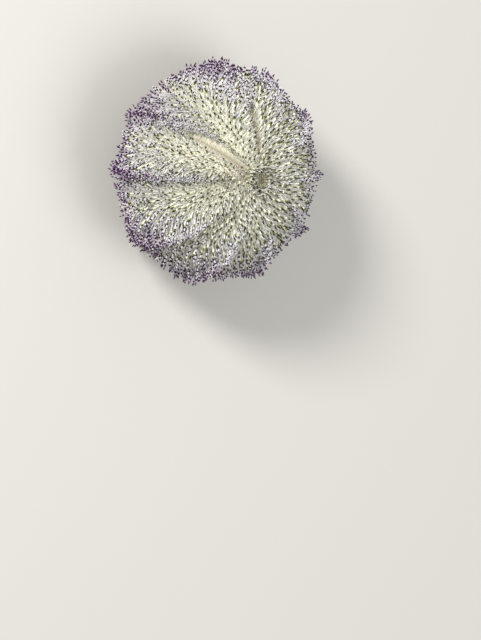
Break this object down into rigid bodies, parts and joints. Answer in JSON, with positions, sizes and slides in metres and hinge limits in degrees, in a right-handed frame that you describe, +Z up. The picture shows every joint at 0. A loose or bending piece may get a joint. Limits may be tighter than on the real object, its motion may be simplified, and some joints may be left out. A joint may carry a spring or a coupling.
{
  "type": "salmacis sea urchin",
  "caption": "Sea urchin with a low domed body of wedge-shaped columns, covered in short banded spines that part along the column edges, standing mouth down on its lower spines.",
  "frame": {"origin": "on the floor, at the middle of the bottom of the bounding box, under the centre of the mouth", "axes": "+Z up through the apical disc, along the animal's axis; +Y and +X across the body, with the sector that the picture shows on the -X side"},
  "size_m": [0.0826, 0.0825, 0.055],
  "materials": {
    "ambulacral_spines": "cream calcite spines with olive and dark purple bands, slightly glossy when wet",
    "interambulacral_spines": "white calcite spines with olive and dark purple bands, slightly glossy when wet",
    "apical_plates": "tan skin over calcite plates",
    "periproct_skin": "brown skin set with small plates",
    "mouth_membrane": "soft tan membrane, moist",
    "teeth": "hard polished white calcite"
  },
  "bodies": {
    "root": {"ambulacrum_1": "ambulacral_spines", "ambulacrum_2": "ambulacral_spines", "ambulacrum_3": "ambulacral_spines", "ambulacrum_4": "ambulacral_spines", "ambulacrum_5": "ambulacral_spines", "interambulacrum_1": "interambulacral_spines", "interambulacrum_2": "interambulacral_spines", "interambulacrum_3": "interambulacral_spines", "interambulacrum_4": "interambulacral_spines", "interambulacrum_5": "interambulacral_spines", "apical_disc": "apical_plates", "periproct": "periproct_skin", "peristome": "mouth_membrane", "tooth_1": "teeth", "tooth_2": "teeth", "tooth_3": "teeth", "tooth_4": "teeth", "tooth_5": "teeth"}
  },
  "joints": []
}
